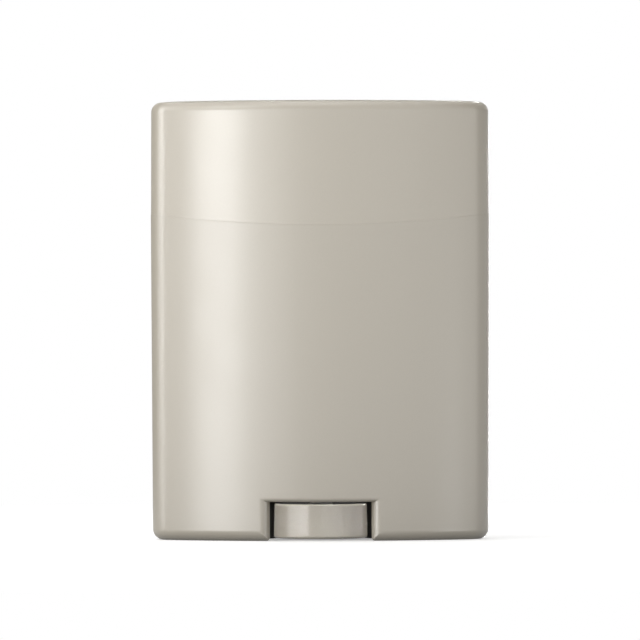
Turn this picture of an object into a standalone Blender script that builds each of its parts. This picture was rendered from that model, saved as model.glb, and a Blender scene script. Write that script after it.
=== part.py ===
"""Flat oval twist-up sunscreen stick with its cap on, at real size.

Metres, +Z up. The stick stands on z = 0 with its broad front facing -Y, and the knob turns
about the Z axis. Every oval shell is one outline, moved inward by an inset, so the walls of
the cap, liner, case, sleeve and bar stay parallel to each other.
"""

import math

import bmesh
import bpy
from mathutils import Vector

MM = 0.001
DEG = math.pi / 180
FULL_TURN = 2 * math.pi
QUARTER = math.pi / 2

# Outer form
WIDTH = 52.0 * MM
DEPTH = 23.0 * MM
HEIGHT = 67.3 * MM
END_RADIUS = 5.2 * MM
TOP_EDGE_RADIUS = 1.5 * MM
TOP_CROWN_DROP = 0.17 * MM
BASE_EDGE_RADIUS = 1.6 * MM
CAP_DRAFT = 0.1 * MM
CASE_DRAFT = 0.22 * MM

# Cap height at the narrow ends, and the seam below it, a shallow smile seen from the front
CAP_HEIGHT = 17.3 * MM
SEAM_SAG = 1.8 * MM
SEAM_GAP = 0.3 * MM
SEAM_CHAMFER = 0.15 * MM

# Walls and clearances
CAP_WALL = 1.0 * MM
CAP_ROOF = 1.2 * MM
CAP_CORNER = 0.6 * MM
LINER_WALL = 0.6 * MM
LINER_ROOF = 0.8 * MM
CASE_WALL = 1.1 * MM
LEG_WALL = 1.3 * MM
LEG_FLOOR = 1.4 * MM
DECK = 1.5 * MM
NECK_WALL = 0.75 * MM
NECK_HEADROOM = 7.65 * MM
NECK_LEAD_IN = 0.25 * MM
SLEEVE_FLOOR = 1.0 * MM
FIT = 0.25 * MM
SNAP_BEAD = 0.1 * MM
SNAP_BEAD_RISE = 0.4 * MM
SNAP_HEIGHT = 4.0 * MM
SNAP_STEP = 1.0 * MM

# Notch and knob
KNOB_RADIUS = 7.2 * MM
KNOB_HEIGHT = 5.3 * MM
KNOB_LIFT = 0.2 * MM
KNOB_DRAFT = 0.1 * MM
KNOB_EDGE = 0.4 * MM
KNOB_WALL = 1.3 * MM
KNOB_WEB = 1.4 * MM
KNOB_HUB_RADIUS = 3.6 * MM
KNOB_HUB_RECESS = 0.4 * MM
KNOB_SIDE_GAP = 0.55 * MM
KNOB_ROOF_GAP = 0.45 * MM
BACK_NOTCH_STEP = 1.3 * MM
BACK_ROOF_STEP = 0.75 * MM
NOTCH_SIDE_FILLET = 1.65 * MM
NOTCH_ROOF_FILLET = 0.6 * MM
NOTCH_FOOT_FILLET = 0.5 * MM

# Lead screw, nut and seal
THREAD_PITCH = 3.0 * MM
THREAD_CORE = 2.3 * MM
THREAD_CREST = 3.2 * MM
THREAD_GAP = 0.25 * MM
NUT_LENGTH = 6.0 * MM
NUT_WALL = 1.1 * MM
JOURNAL_RADIUS = 2.6 * MM
JOURNAL_GAP = 0.2 * MM
FLANGE_RADIUS = 4.8 * MM
FLANGE_THICKNESS = 0.8 * MM
DRIVE_SIDE = 3.4 * MM
DRIVE_LENGTH = 4.0 * MM
DRIVE_GAP = 0.15 * MM
O_RING_WIRE = 0.6 * MM
O_RING_GAP = 0.1 * MM

# Elevator and bar
ELEVATOR_GAP = 0.3 * MM
ELEVATOR_PLATE = 1.0 * MM
CUP_DEPTH = 2.5 * MM
CUP_WALL = 0.7 * MM
KEY_HOLE_RADIUS = 1.2 * MM
KEY_HOLE_SPACING = 5.0 * MM
BAR_RECESS = 3.1 * MM
BAR_COVER = 3.4 * MM
BAR_SHOULDER = 1.8 * MM
BAR_CROWN = 1.2 * MM
CHANNEL_GAP = 0.4 * MM

# Facets
END_STEPS = 10
FACE_STEPS = 10
EDGE_STEPS = 4
NOTCH_STEPS = 8
TURNED_STEPS = 40
THREAD_SIDES = 12
THREAD_RINGS = 8
KEY_HOLES_EACH_SIDE = 2
KEY_HOLE_SIDES = 16
CROWN_SHARES = (0.8, 0.55, 0.3)

# Share of the flat end of the cap's top that its crown reaches over
CROWN_REACH_SHARE = 0.9
CROWN_STEPS = 3

OVERRUN = 1.0 * MM
MERGE = 0.01 * MM
SHARP_ANGLE = 30 * DEG

# Heights, stacked upward from the table
SEAM_CENTRE = HEIGHT - CAP_HEIGHT - SEAM_SAG
KNOB_TOP = KNOB_LIFT + KNOB_HEIGHT
NOTCH_ROOF = KNOB_TOP + KNOB_ROOF_GAP
BACK_NOTCH_ROOF = NOTCH_ROOF - BACK_ROOF_STEP
DECK_TOP = NOTCH_ROOF + DECK
SLEEVE_BASE = DECK_TOP + FIT
SLEEVE_FLOOR_TOP = SLEEVE_BASE + SLEEVE_FLOOR
FLANGE_BASE = SLEEVE_FLOOR_TOP + 2 * (O_RING_GAP + O_RING_WIRE)
FLANGE_TOP = FLANGE_BASE + FLANGE_THICKNESS
ELEVATOR_BASE = FLANGE_TOP + ELEVATOR_GAP
PLATE_TOP = ELEVATOR_BASE + ELEVATOR_PLATE
CUP_TOP = PLATE_TOP + CUP_DEPTH
NUT_TOP = ELEVATOR_BASE + NUT_LENGTH
CAP_CEILING = HEIGHT - CAP_ROOF
LINER_TOP = CAP_CEILING - FIT
LINER_CEILING = LINER_TOP - LINER_ROOF
NECK_TOP = LINER_CEILING - NECK_HEADROOM
BAR_TOP = NECK_TOP - BAR_RECESS
SCREW_TOP = BAR_TOP - BAR_COVER

# Insets from the widest outline, stacked inward
LINER_OUTER = CAP_WALL + FIT
LINER_INNER = LINER_OUTER + LINER_WALL
NECK_OUTER = LINER_INNER + FIT
NECK_INNER = NECK_OUTER + NECK_WALL
BAR_INSET = NECK_INNER + FIT

# Radii and reaches that follow from the values above
O_RING_RADIUS = JOURNAL_RADIUS + JOURNAL_GAP + O_RING_WIRE
THREAD_RADIUS = (THREAD_CREST + THREAD_CORE) / 2
THREAD_LEAN = (THREAD_CREST - THREAD_CORE) / 2
NUT_RADIUS = THREAD_CREST + THREAD_GAP + NUT_WALL
NOTCH_HALF = KNOB_RADIUS + KNOB_SIDE_GAP
BACK_NOTCH_HALF = NOTCH_HALF - BACK_NOTCH_STEP
TOP_CROWN_REACH = (END_RADIUS - CAP_DRAFT - TOP_EDGE_RADIUS) * CROWN_REACH_SHARE


def clear_scene():
    for item in list(bpy.data.objects):
        bpy.data.objects.remove(item, do_unlink=True)


def new_collection(name):
    collection = bpy.data.collections.new(name)
    bpy.context.scene.collection.children.link(collection)
    return collection


def plastic(name, colour, roughness, metallic=0.0):
    material = bpy.data.materials.new(name)
    material.use_nodes = True
    shader = material.node_tree.nodes["Principled BSDF"]
    shader.inputs["Base Color"].default_value = (*colour, 1.0)
    shader.inputs["Roughness"].default_value = roughness
    shader.inputs["Metallic"].default_value = metallic
    return material


def add_holder(name, height, collection):
    """Empty on the Z axis that carries the pieces of one rigid body."""
    holder = bpy.data.objects.new(name, None)
    holder.empty_display_size = WIDTH / 2
    holder.location.z = height
    collection.objects.link(holder)
    return holder


def finish(body, collection, holder, material):
    """Put a piece in its collection, on its body's empty, with its own material."""
    for other in list(body.users_collection):
        other.objects.unlink(body)
    collection.objects.link(body)
    body.parent = holder
    body.location.z -= holder.location.z
    body.data.materials.append(material)
    body.data.shade_smooth()
    body.data.set_sharp_from_angle(angle=SHARP_ANGLE)
    return body


def hide_as_tool(body, collection):
    """Keep a cutter or a joined form out of the render."""
    for other in list(body.users_collection):
        other.objects.unlink(body)
    collection.objects.link(body)
    body.hide_render = True
    body.display_type = "WIRE"
    return body


def combine(body, tool, operation="DIFFERENCE"):
    modifier = body.modifiers.new(tool.name, "BOOLEAN")
    modifier.operation = operation
    modifier.solver = "EXACT"
    modifier.object = tool


def seam_lift(x):
    """How far the seam at x stands above its lowest point, on a circular arc."""
    half = WIDTH / 2
    radius = (half ** 2 + SEAM_SAG ** 2) / (2 * SEAM_SAG)
    return radius - math.sqrt(radius ** 2 - x ** 2)


def skin(height):
    """Inset of the drafted outer skin at a height: none at the seam, most at the two ends."""
    if height > SEAM_CENTRE:
        return CAP_DRAFT * (height - SEAM_CENTRE) / (HEIGHT - SEAM_CENTRE)
    return CASE_DRAFT * (SEAM_CENTRE - height) / SEAM_CENTRE


def face_arc():
    """Radius of the broad faces, tangent to the end arcs, and its centre's distance from y = 0."""
    reach = WIDTH / 2 - END_RADIUS
    half_depth = DEPTH / 2
    radius = (reach ** 2 + half_depth ** 2 - END_RADIUS ** 2) / (2 * (half_depth - END_RADIUS))
    return radius, radius - half_depth


def oval_outline(inset):
    """Plan outline of four tangent arcs, moved inward, counterclockwise from the right end."""
    reach = WIDTH / 2 - END_RADIUS
    face_radius, face_back = face_arc()
    tangent = math.atan2(reach, face_back)
    arcs = (
        (reach, 0, END_RADIUS, 0, QUARTER - tangent, END_STEPS),
        (0, -face_back, face_radius, QUARTER, tangent, FACE_STEPS),
        (-reach, 0, END_RADIUS, 2 * QUARTER, QUARTER - tangent, END_STEPS),
        (0, face_back, face_radius, 3 * QUARTER, tangent, FACE_STEPS),
    )
    points = []
    for centre_x, centre_y, radius, middle, half_angle, steps in arcs:
        for step in range(steps):
            angle = middle + half_angle * (2 * step / steps - 1)
            points.append((
                centre_x + (radius - inset) * math.cos(angle),
                centre_y + (radius - inset) * math.sin(angle),
            ))
    return points


def ring(inset, height, on_seam=False, share=1):
    """The outline at an inset and height. On the seam, it rises towards the narrow ends."""
    points = []
    for x, y in oval_outline(inset):
        lift = seam_lift(x) if on_seam else 0
        points.append(Vector((x * share, y * share, height + lift)))
    return points


def rounded_top(inset, height, radius):
    """Rings over a rounded top edge, from the side wall inward."""
    rings = []
    for step in range(EDGE_STEPS + 1):
        angle = QUARTER * step / EDGE_STEPS
        rings.append(ring(
            inset + radius * (1 - math.cos(angle)),
            height - radius * (1 - math.sin(angle)),
        ))
    return rings


def crowned_top(inset, height, radius, drop, reach):
    """Rings over a rounded edge that runs into a shallow crown, from the side wall inward."""
    sweep = 2 * math.atan(drop / reach)
    crown_radius = reach / math.sin(sweep)
    edge_end = QUARTER - sweep
    crown_outer = inset + radius * (1 - math.cos(edge_end))
    rings = []
    for step in range(EDGE_STEPS + 1):
        angle = edge_end * step / EDGE_STEPS
        rings.append(ring(
            inset + radius * (1 - math.cos(angle)),
            height - drop - radius * (math.sin(edge_end) - math.sin(angle)),
        ))
    for step in range(1, CROWN_STEPS + 1):
        angle = sweep * (1 - step / CROWN_STEPS)
        rings.append(ring(
            crown_outer + crown_radius * (math.sin(sweep) - math.sin(angle)),
            height - crown_radius * (1 - math.cos(angle)),
        ))
    return rings


def rounded_base(inset, height, radius):
    """Rings round a rounded base edge, from the underside up to the side wall."""
    rings = []
    for step in range(EDGE_STEPS + 1):
        angle = QUARTER * step / EDGE_STEPS
        rings.append(ring(
            inset + radius * (1 - math.sin(angle)),
            height + radius * (1 - math.cos(angle)),
        ))
    return rings


def loft(name, rings):
    """Closed body with its skin through rings of equal count and a flat cap at each end."""
    count = len(rings[0])
    base = min(point.z for point in rings[0])
    points = [point - Vector((0, 0, base)) for row in rings for point in row]
    faces = []
    for row in range(len(rings) - 1):
        for column in range(count):
            beside = (column + 1) % count
            low = row * count
            faces.append((low + column, low + beside, low + count + beside, low + count + column))
    faces.append(range(count))
    faces.append(range(len(points) - count, len(points)))
    mesh = bpy.data.meshes.new(name)
    mesh.from_pydata(points, [], faces)
    sheet = bmesh.new()
    sheet.from_mesh(mesh)
    bmesh.ops.recalc_face_normals(sheet, faces=sheet.faces)
    sheet.to_mesh(mesh)
    sheet.free()
    body = bpy.data.objects.new(name, mesh)
    body.location.z = base
    return body


def turned(name, profile):
    """Body turned about Z from (radius, height) pairs that run down its outer side."""
    base = min(height for _, height in profile)
    points = [(radius, 0, height - base) for radius, height in profile]
    edges = [(index, index + 1) for index in range(len(points) - 1)]
    mesh = bpy.data.meshes.new(name)
    mesh.from_pydata(points, edges, [])
    body = bpy.data.objects.new(name, mesh)
    body.location.z = base
    turn = body.modifiers.new("Turn", "SCREW")
    turn.steps = TURNED_STEPS
    turn.render_steps = TURNED_STEPS
    turn.use_merge_vertices = True
    turn.merge_threshold = MERGE
    turn.use_smooth_shade = True
    return body


def box(name, size_x, size_y, low, high):
    """Box centred on the Z axis between two heights."""
    mesh = bpy.data.meshes.new(name)
    sheet = bmesh.new()
    bmesh.ops.create_cube(sheet, size=1)
    bmesh.ops.scale(sheet, vec=(size_x, size_y, high - low), verts=sheet.verts)
    sheet.to_mesh(mesh)
    sheet.free()
    body = bpy.data.objects.new(name, mesh)
    body.location.z = (low + high) / 2
    return body


def cylinder(name, radius, low, high, sides=TURNED_STEPS):
    """Upright cylinder on the Z axis between two heights."""
    mesh = bpy.data.meshes.new(name)
    sheet = bmesh.new()
    bmesh.ops.create_cone(
        sheet, cap_ends=True, segments=sides,
        radius1=radius, radius2=radius, depth=high - low,
    )
    sheet.to_mesh(mesh)
    sheet.free()
    body = bpy.data.objects.new(name, mesh)
    body.location.z = (low + high) / 2
    return body


def thread_rod(name, radius, low, high):
    """Left-hand round thread: circles whose centre goes round the axis once in each pitch."""
    rows = math.ceil(THREAD_RINGS * (high - low) / THREAD_PITCH)
    rings = []
    for row in range(rows + 1):
        height = low + (high - low) * row / rows
        turn = -FULL_TURN * height / THREAD_PITCH
        circle = []
        for side in range(THREAD_SIDES):
            angle = FULL_TURN * side / THREAD_SIDES
            circle.append(Vector((
                THREAD_LEAN * math.cos(turn) + radius * math.cos(angle),
                THREAD_LEAN * math.sin(turn) + radius * math.sin(angle),
                height,
            )))
        rings.append(circle)
    return loft(name, rings)


def fillet_flare(radius, depth):
    """How far a rounded edge opens at a depth below the surface it rounds."""
    if depth >= radius:
        return 0
    return radius - math.sqrt(radius ** 2 - (radius - max(depth, 0)) ** 2)


def notch_outline(half, roof):
    """Inverted U as (x, height) from left foot to right foot, opening out at the feet."""
    left = [(-half - NOTCH_FOOT_FILLET, -OVERRUN)]
    for step in range(EDGE_STEPS + 1):
        height = NOTCH_FOOT_FILLET * (1 - math.cos(QUARTER * step / EDGE_STEPS))
        left.append((-half - fillet_flare(NOTCH_FOOT_FILLET, height), height))
    roof_line = [(half * (2 * step / NOTCH_STEPS - 1), roof) for step in range(NOTCH_STEPS + 1)]
    right = [(-x, height) for x, height in reversed(left)]
    return left + roof_line + right


def back_fillet():
    """Side fillet of the notch behind, limited by the wall that the knob's pocket leaves."""
    face_radius, face_back = face_arc()
    pocket = math.hypot(
        NOTCH_HALF + KNOB_SIDE_GAP + face_back, BACK_NOTCH_HALF + NOTCH_FOOT_FILLET,
    )
    return min(NOTCH_SIDE_FILLET, face_radius - CASE_DRAFT - pocket)


def notch_mouth(half, roof, side, fillet):
    """Sections from outside the case inward, on its skin. Side is -1 in front and 1 behind."""
    face_radius, face_back = face_arc()
    sections = []
    for step in range(EDGE_STEPS + 1):
        depth = fillet * (1 - math.cos(QUARTER * step / EDGE_STEPS))
        section = []
        for x, height in notch_outline(
            half + fillet_flare(fillet, depth),
            roof + fillet_flare(NOTCH_ROOF_FILLET, depth),
        ):
            inset = skin(max(height, 0)) + depth
            y = math.sqrt((face_radius - inset) ** 2 - x ** 2) - face_back
            section.append(Vector((x, side * y, height)))
        sections.append(section)
    outside = side * (DEPTH / 2 + OVERRUN)
    sections.insert(0, [Vector((point.x, outside, point.z)) for point in sections[0]])
    return sections


def knob_pocket():
    """Sections that close in behind the knob, then step down, so that no light shows past it."""
    closing = math.acos(BACK_NOTCH_HALF / NOTCH_HALF)
    places = []
    for step in range(EDGE_STEPS + 1):
        angle = closing * step / EDGE_STEPS
        places.append((NOTCH_HALF * math.cos(angle), NOTCH_ROOF, NOTCH_HALF * math.sin(angle)))
    places.append((BACK_NOTCH_HALF, NOTCH_ROOF, KNOB_RADIUS + KNOB_SIDE_GAP / 2))
    places.append((BACK_NOTCH_HALF, BACK_NOTCH_ROOF, NOTCH_HALF))
    return [
        [Vector((x, y, height)) for x, height in notch_outline(half, roof)]
        for half, roof, y in places
    ]


def notch_cutter():
    """Space for the knob and the thumb: open in front, a little narrower and lower behind."""
    front = notch_mouth(NOTCH_HALF, NOTCH_ROOF, -1, NOTCH_SIDE_FILLET)
    back = notch_mouth(BACK_NOTCH_HALF, BACK_NOTCH_ROOF, 1, back_fillet())
    return loft("notch", front + knob_pocket() + back[::-1])


def make_cap_shell():
    rings = [
        ring(CAP_WALL + CAP_CORNER, CAP_CEILING),
        ring(CAP_WALL, CAP_CEILING - CAP_CORNER),
        ring(CAP_WALL, SEAM_CENTRE + SEAM_GAP / 2, on_seam=True),
        ring(SEAM_CHAMFER, SEAM_CENTRE + SEAM_GAP / 2, on_seam=True),
        ring(0, SEAM_CENTRE + SEAM_GAP / 2 + SEAM_CHAMFER, on_seam=True),
    ]
    rings += crowned_top(CAP_DRAFT, HEIGHT, TOP_EDGE_RADIUS, TOP_CROWN_DROP, TOP_CROWN_REACH)
    return loft("cap_shell", rings)


def make_cap_liner():
    bead = SEAM_CENTRE + SNAP_HEIGHT
    rim = SEAM_CENTRE + SEAM_GAP / 2
    return loft("cap_liner", [
        ring(LINER_INNER + CAP_CORNER, LINER_CEILING),
        ring(LINER_INNER, LINER_CEILING - CAP_CORNER),
        ring(LINER_INNER, bead + SNAP_BEAD_RISE),
        ring(LINER_INNER + SNAP_BEAD, bead),
        ring(LINER_INNER, bead - SNAP_BEAD_RISE),
        ring(LINER_INNER, rim, on_seam=True),
        ring(LINER_OUTER, rim, on_seam=True),
        ring(LINER_OUTER, LINER_TOP - CAP_CORNER),
        ring(LINER_OUTER + CAP_CORNER, LINER_TOP),
    ])


def leg_pockets():
    """Hollows that core out the two legs from above, beside the knob's channel."""
    low, high = LEG_FLOOR, DECK_TOP + OVERRUN
    pockets = loft("leg_pockets", [
        ring(LEG_WALL + skin(low), low),
        ring(LEG_WALL + skin(high), high),
    ])
    half = NOTCH_HALF + NOTCH_SIDE_FILLET + LEG_WALL
    core = box("channel_core", 2 * half, DEPTH, 0, high + OVERRUN)
    return pockets, core


def make_case_shell(tools):
    top = SEAM_CENTRE - SEAM_GAP / 2
    base = rounded_base(CASE_DRAFT, 0, BASE_EDGE_RADIUS)
    case = loft("case_shell", base + [
        ring(0, top - SEAM_CHAMFER, on_seam=True),
        ring(SEAM_CHAMFER, top, on_seam=True),
        ring(CASE_WALL, top, on_seam=True),
        ring(CASE_WALL + skin(DECK_TOP), DECK_TOP),
    ])
    pockets, core = leg_pockets()
    combine(pockets, core)
    bearing = cylinder(
        "case_bearing", JOURNAL_RADIUS + JOURNAL_GAP, NOTCH_ROOF - OVERRUN, DECK_TOP + OVERRUN,
    )
    notch = notch_cutter()
    for tool in (pockets, core, bearing, notch):
        hide_as_tool(tool, tools)
    for tool in (pockets, notch, bearing):
        combine(case, tool)
    return case


def make_inner_sleeve(tools):
    outer = CASE_WALL + FIT
    shoulder = SEAM_CENTRE - SEAM_GAP / 2
    bead = SEAM_CENTRE + SNAP_HEIGHT + SNAP_STEP
    sleeve = loft("inner_sleeve", [
        ring(outer + skin(SLEEVE_BASE), SLEEVE_BASE),
        ring(outer, shoulder, on_seam=True),
        ring(NECK_OUTER, shoulder, on_seam=True),
        ring(NECK_OUTER, bead - SNAP_BEAD_RISE),
        ring(NECK_OUTER - SNAP_BEAD, bead),
        ring(NECK_OUTER, bead + SNAP_BEAD_RISE),
        ring(NECK_OUTER, NECK_TOP - NECK_LEAD_IN),
        ring(NECK_OUTER + NECK_LEAD_IN, NECK_TOP),
        ring(NECK_INNER, NECK_TOP),
        ring(NECK_INNER, SLEEVE_FLOOR_TOP),
    ])
    bearing = cylinder(
        "sleeve_bearing", JOURNAL_RADIUS + JOURNAL_GAP,
        SLEEVE_BASE - OVERRUN, SLEEVE_FLOOR_TOP + OVERRUN,
    )
    combine(sleeve, hide_as_tool(bearing, tools))
    return sleeve


def make_elevator(tools):
    """Cup that the bar is cast on, with key holes in its plate and a threaded tube for a nut."""
    elevator = loft("elevator", [
        ring(BAR_INSET, ELEVATOR_BASE),
        ring(BAR_INSET, CUP_TOP),
        ring(BAR_INSET + CUP_WALL, CUP_TOP),
        ring(BAR_INSET + CUP_WALL, PLATE_TOP),
    ])
    tube = cylinder("nut_tube", NUT_RADIUS, ELEVATOR_BASE + ELEVATOR_PLATE / 2, NUT_TOP)
    bore = thread_rod(
        "nut_thread", THREAD_RADIUS + THREAD_GAP, ELEVATOR_BASE - OVERRUN, NUT_TOP + OVERRUN,
    )
    combine(elevator, hide_as_tool(tube, tools), "UNION")
    combine(elevator, hide_as_tool(bore, tools))
    for place in range(1, KEY_HOLES_EACH_SIDE + 1):
        for side in (-1, 1):
            hole = cylinder(
                f"key_hole_{side * place}", KEY_HOLE_RADIUS,
                ELEVATOR_BASE - OVERRUN, PLATE_TOP + FIT / 2, KEY_HOLE_SIDES,
            )
            hole.location.x = side * (NUT_RADIUS + (place - 1 / 2) * KEY_HOLE_SPACING)
            combine(elevator, hide_as_tool(hole, tools))
    return elevator


def make_balm_bar(tools):
    foot = BAR_INSET + CUP_WALL + FIT
    shoulder = BAR_TOP - BAR_CROWN
    rings = [
        ring(foot, PLATE_TOP + FIT),
        ring(foot, CUP_TOP + FIT),
        ring(BAR_INSET, CUP_TOP + FIT),
    ]
    rings += rounded_top(BAR_INSET, shoulder, BAR_SHOULDER)
    for share in CROWN_SHARES:
        rings.append(ring(BAR_INSET + BAR_SHOULDER, shoulder + BAR_CROWN * (1 - share ** 2), share=share))
    bar = loft("balm_bar", rings)
    wide = NUT_RADIUS + FIT
    narrow = THREAD_CREST + CHANNEL_GAP
    end = SCREW_TOP + CHANNEL_GAP
    channel = turned("screw_channel", [
        (0, end + narrow / 2),
        (narrow, end),
        (narrow, NUT_TOP + FIT),
        (wide, NUT_TOP + FIT),
        (wide, PLATE_TOP - OVERRUN),
        (0, PLATE_TOP - OVERRUN),
    ])
    combine(bar, hide_as_tool(channel, tools))
    return bar


def make_lead_screw(tools):
    shoulder = KNOB_TOP + FIT
    screw = turned("lead_screw", [
        (0, FLANGE_TOP),
        (FLANGE_RADIUS, FLANGE_TOP),
        (FLANGE_RADIUS, FLANGE_BASE),
        (JOURNAL_RADIUS, FLANGE_BASE),
        (JOURNAL_RADIUS, shoulder),
        (0, shoulder),
    ])
    rod = thread_rod("screw_thread", THREAD_RADIUS, FLANGE_TOP - FLANGE_THICKNESS / 2, SCREW_TOP)
    drive = box("square_drive", DRIVE_SIDE, DRIVE_SIDE, shoulder - DRIVE_LENGTH, FLANGE_BASE)
    for tool in (rod, drive):
        combine(screw, hide_as_tool(tool, tools), "UNION")
    return screw


def make_o_ring():
    bpy.ops.mesh.primitive_torus_add(
        major_radius=O_RING_RADIUS, minor_radius=O_RING_WIRE,
        major_segments=24, minor_segments=8,
        location=(0, 0, SLEEVE_FLOOR_TOP + O_RING_GAP + O_RING_WIRE),
    )
    seal = bpy.context.object
    seal.name = "screw_o_ring"
    return seal


def knob_edge(radius, height, direction):
    """Rounded rim of the knob as (radius, height) pairs, down its outer side."""
    pairs = []
    for step in range(EDGE_STEPS + 1):
        share = step / EDGE_STEPS if direction > 0 else 1 - step / EDGE_STEPS
        angle = QUARTER * share
        pairs.append((
            radius - KNOB_EDGE * (1 - math.sin(angle)),
            height + direction * KNOB_EDGE * (math.cos(angle) - 1),
        ))
    return pairs


def make_knob(tools):
    core = KNOB_RADIUS - KNOB_WALL
    web = KNOB_TOP - KNOB_WEB
    hub_base = KNOB_LIFT + KNOB_HUB_RECESS
    profile = [(0, KNOB_TOP)]
    profile += knob_edge(KNOB_RADIUS - KNOB_DRAFT, KNOB_TOP, 1)
    profile += knob_edge(KNOB_RADIUS, KNOB_LIFT, -1)
    profile += [
        (core, KNOB_LIFT),
        (core, web),
        (KNOB_HUB_RADIUS, web),
        (KNOB_HUB_RADIUS, hub_base),
        (0, hub_base),
    ]
    knob = turned("knob", profile)
    side = DRIVE_SIDE + 2 * DRIVE_GAP
    socket_base = KNOB_TOP + FIT - DRIVE_LENGTH - DRIVE_GAP
    socket = box("drive_socket", side, side, socket_base, KNOB_TOP + OVERRUN)
    combine(knob, hide_as_tool(socket, tools))
    return knob


def main():
    clear_scene()
    parts = new_collection("sunscreen_stick")
    tools = new_collection("cutters")
    pearl = (0.49, 0.455, 0.39)
    white = (0.82, 0.81, 0.78)
    case = add_holder("case", 0, parts)
    cap = add_holder("cap", SEAM_CENTRE, parts)
    dial = add_holder("dial", KNOB_LIFT, parts)
    carrier = add_holder("carrier", ELEVATOR_BASE, parts)
    finish(make_cap_shell(), parts, cap, plastic("cap pearl paint", pearl, 0.35))
    finish(make_cap_liner(), parts, cap, plastic("liner white plastic", white, 0.5))
    finish(make_case_shell(tools), parts, case, plastic("case pearl paint", pearl, 0.35))
    finish(make_inner_sleeve(tools), parts, case, plastic("sleeve white plastic", white, 0.4))
    finish(make_elevator(tools), parts, carrier, plastic("elevator white plastic", white, 0.5))
    finish(make_balm_bar(tools), parts, carrier, plastic("sun balm", (0.86, 0.82, 0.70), 0.45))
    finish(make_lead_screw(tools), parts, dial, plastic("screw white plastic", white, 0.45))
    finish(make_o_ring(), parts, dial, plastic("seal rubber", (0.75, 0.74, 0.72), 0.6))
    finish(make_knob(tools), parts, dial, plastic("knob gloss plastic", pearl, 0.15))


main()
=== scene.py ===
# %% [markdown]
# # A flat oval sunscreen stick
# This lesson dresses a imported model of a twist-up sunscreen stick: a satin pearl case and
# cap, a glossy knob in a notch, and the white mouldings and balm that show when the cap is
# off. Every length is in metres, the broad front faces -Y and the stick stands on z = 0.

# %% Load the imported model
import math

import bmesh
import bpy
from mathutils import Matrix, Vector


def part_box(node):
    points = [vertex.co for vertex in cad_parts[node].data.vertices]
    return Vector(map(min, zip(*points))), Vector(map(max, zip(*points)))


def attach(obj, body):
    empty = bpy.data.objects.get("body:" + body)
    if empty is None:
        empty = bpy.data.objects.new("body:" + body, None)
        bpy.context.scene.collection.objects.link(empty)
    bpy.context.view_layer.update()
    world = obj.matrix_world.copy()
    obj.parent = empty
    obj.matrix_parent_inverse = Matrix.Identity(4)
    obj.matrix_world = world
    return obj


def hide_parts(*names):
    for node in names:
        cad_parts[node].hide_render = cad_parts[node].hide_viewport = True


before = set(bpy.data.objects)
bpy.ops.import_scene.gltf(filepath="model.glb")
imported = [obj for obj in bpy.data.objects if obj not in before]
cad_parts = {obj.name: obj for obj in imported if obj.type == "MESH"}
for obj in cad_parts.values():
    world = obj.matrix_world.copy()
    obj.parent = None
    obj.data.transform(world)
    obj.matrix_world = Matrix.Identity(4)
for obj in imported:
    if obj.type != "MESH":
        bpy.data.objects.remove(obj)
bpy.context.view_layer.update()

MM = 0.001
DEG = math.pi / 180
QUARTER = math.pi / 2
scene = bpy.context.scene
print("nodes", sorted(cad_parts))

# %% [markdown]
# ## Sizes
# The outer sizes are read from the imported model, so the fine surfaces can't drift from it.
# Only what a box can't tell, such as a radius or a wall, is written out as a real size.

# %% Read the driving sizes
case_low, case_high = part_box("case_shell")
cap_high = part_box("cap_shell")[1]
liner_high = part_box("cap_liner")[1]
sleeve_low, sleeve_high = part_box("inner_sleeve")
knob_low, knob_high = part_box("knob")

WIDTH = case_high[0] - case_low[0]
DEPTH = case_high[1] - case_low[1]
HEIGHT = cap_high[2]
END_RADIUS = 5.2 * MM
CAP_DRAFT = 0.1 * MM
CASE_DRAFT = 0.22 * MM
SEAM_SAG = 1.8 * MM
CAP_HEIGHT = 17.3 * MM
SEAM_CENTRE = HEIGHT - CAP_HEIGHT - SEAM_SAG
print("width, depth, height in mm", [round(size / MM, 2) for size in (WIDTH, DEPTH, HEIGHT)])

# %% [markdown]
# ## The oval, drawn once
# Cap, liner, case, sleeve and bar all share one plan: two broad arcs joined by two tight
# ones. Moving an arc inward only shortens its radius, so one function that takes an inset
# gives every wall, and the walls stay parallel as they do in a mould.

# %% The plan outline
END_STEPS = 32
FACE_STEPS = 72


def face_arc():
    """Radius of the broad faces and how far its centre lies behind y = 0."""
    reach = WIDTH / 2 - END_RADIUS
    half = DEPTH / 2
    radius = (reach ** 2 + half ** 2 - END_RADIUS ** 2) / (2 * (half - END_RADIUS))
    return radius, radius - half


def oval_outline(inset):
    """Points of the plan, moved inward, counterclockwise from the right-hand end."""
    reach = WIDTH / 2 - END_RADIUS
    face_radius, face_back = face_arc()
    tangent = math.atan2(reach, face_back)
    arcs = (
        (reach, 0, END_RADIUS, 0, QUARTER - tangent, END_STEPS),
        (0, -face_back, face_radius, QUARTER, tangent, FACE_STEPS),
        (-reach, 0, END_RADIUS, 2 * QUARTER, QUARTER - tangent, END_STEPS),
        (0, face_back, face_radius, 3 * QUARTER, tangent, FACE_STEPS),
    )
    points = []
    for centre_x, centre_y, radius, middle, half_angle, steps in arcs:
        for step in range(steps):
            angle = middle + half_angle * (2 * step / steps - 1)
            points.append((
                centre_x + (radius - inset) * math.cos(angle),
                centre_y + (radius - inset) * math.sin(angle),
            ))
    return points


print("points round the oval:", len(oval_outline(0)))

# %% [markdown]
# ## Rings and lofts
# A shell is a stack of rings at different insets and heights, skinned from one to the next.
# The seam between cap and case is a shallow smile, so a ring can also ride on that arc.

# %% Rings, rounded edges and the loft
def seam_lift(x):
    """How far the seam at x stands above its lowest point."""
    half = WIDTH / 2
    radius = (half ** 2 + SEAM_SAG ** 2) / (2 * SEAM_SAG)
    return radius - math.sqrt(radius ** 2 - x ** 2)


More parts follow.
